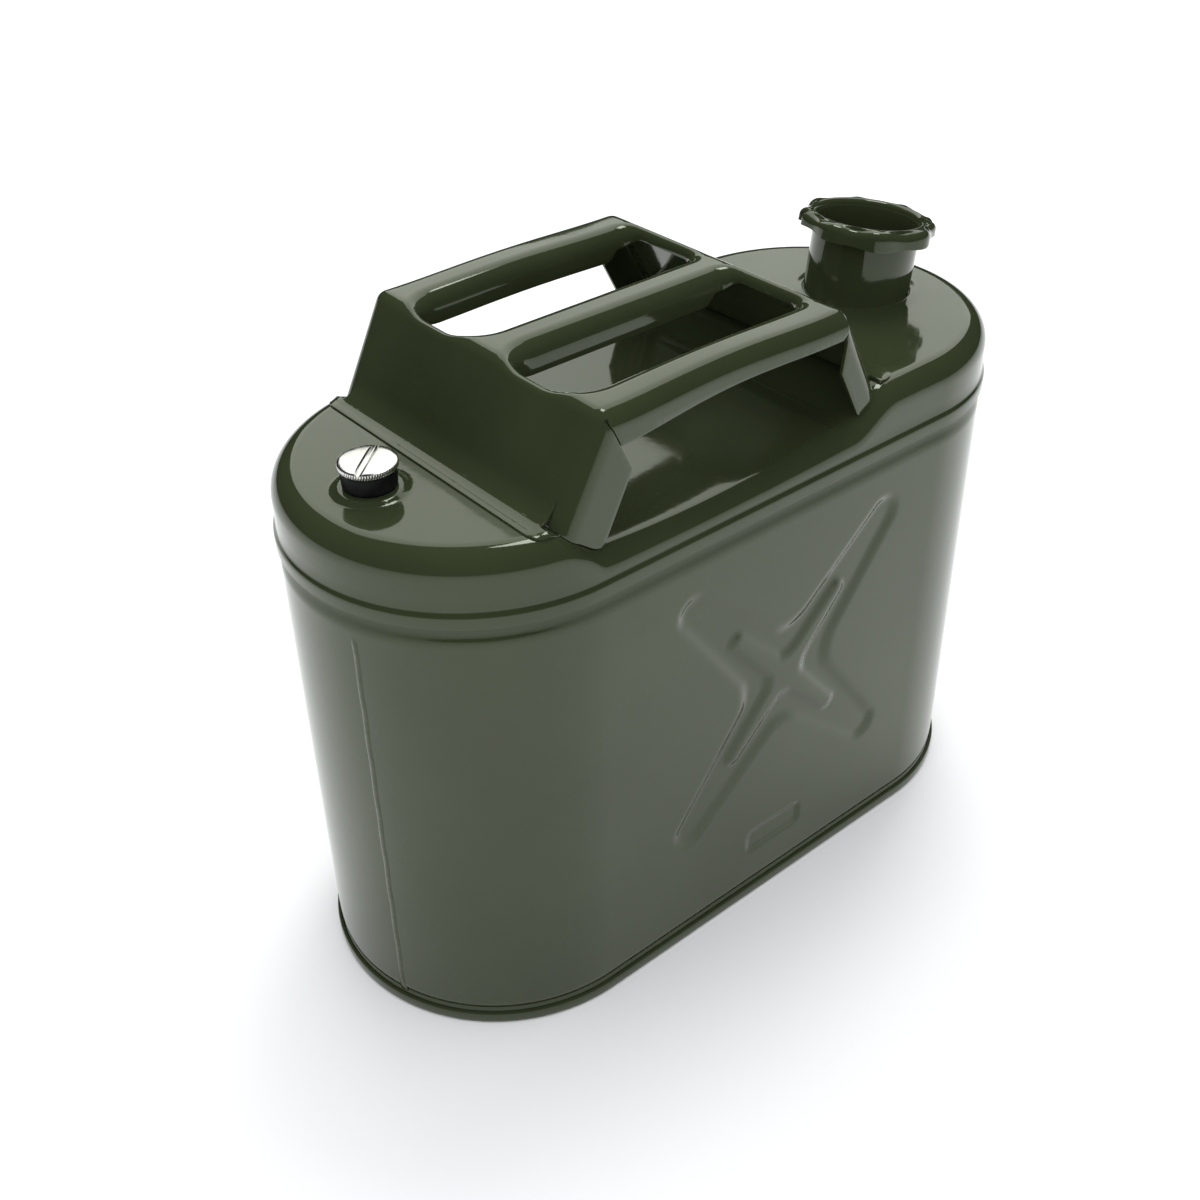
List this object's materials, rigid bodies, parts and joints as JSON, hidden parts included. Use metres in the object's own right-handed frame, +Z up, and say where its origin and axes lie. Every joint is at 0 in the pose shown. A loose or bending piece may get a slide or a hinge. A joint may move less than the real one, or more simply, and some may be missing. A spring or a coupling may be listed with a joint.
{
  "type": "jerry can",
  "caption": "Upright olive sheet-steel fuel can with an obround body, a slotted carrying handle, an open filler neck and a knurled vent screw.",
  "frame": {"origin": "middle of the base, on the surface the can stands on", "axes": "+X along the can towards the filler neck, +Y across its width, +Z up"},
  "size_m": [0.269, 0.123, 0.2185],
  "materials": {
    "olive_paint": "gloss enamel",
    "bright_plate": "bright plated, lightly handled",
    "bare_steel": "machined",
    "black_rubber": "moulded",
    "seam_sealant": "cured compound"
  },
  "bodies": {
    "can": {"body_shell": "olive_paint", "side_weld": "olive_paint", "bottom_pan": "olive_paint", "bottom_sealant": "seam_sealant", "lid": "olive_paint", "lap_filler": "olive_paint", "handle": "olive_paint", "handle_welds": "olive_paint", "neck_tube": "olive_paint", "neck_collar": "olive_paint", "neck_weld": "olive_paint", "vent_bush": "bare_steel"},
    "vent_seal": {"vent_washer": "black_rubber"},
    "vent_stem": {"vent_screw": "bright_plate"}
  },
  "joints": [
    {"name": "vent_lift", "type": "slide", "parent": "can", "child": "vent_seal", "axis": [0, 0, 1], "range_m": [0, 0.00801]},
    {"name": "vent_turn", "type": "hinge", "parent": "vent_seal", "child": "vent_stem", "pos_m": [-0.1085, 0, 0.19], "axis": [0, 0, 1], "range_deg": [0, 2880]}
  ],
  "couplings": [
    {"joint": "vent_lift", "follows": "vent_turn", "m_per_rad": 0.00015915}
  ]
}
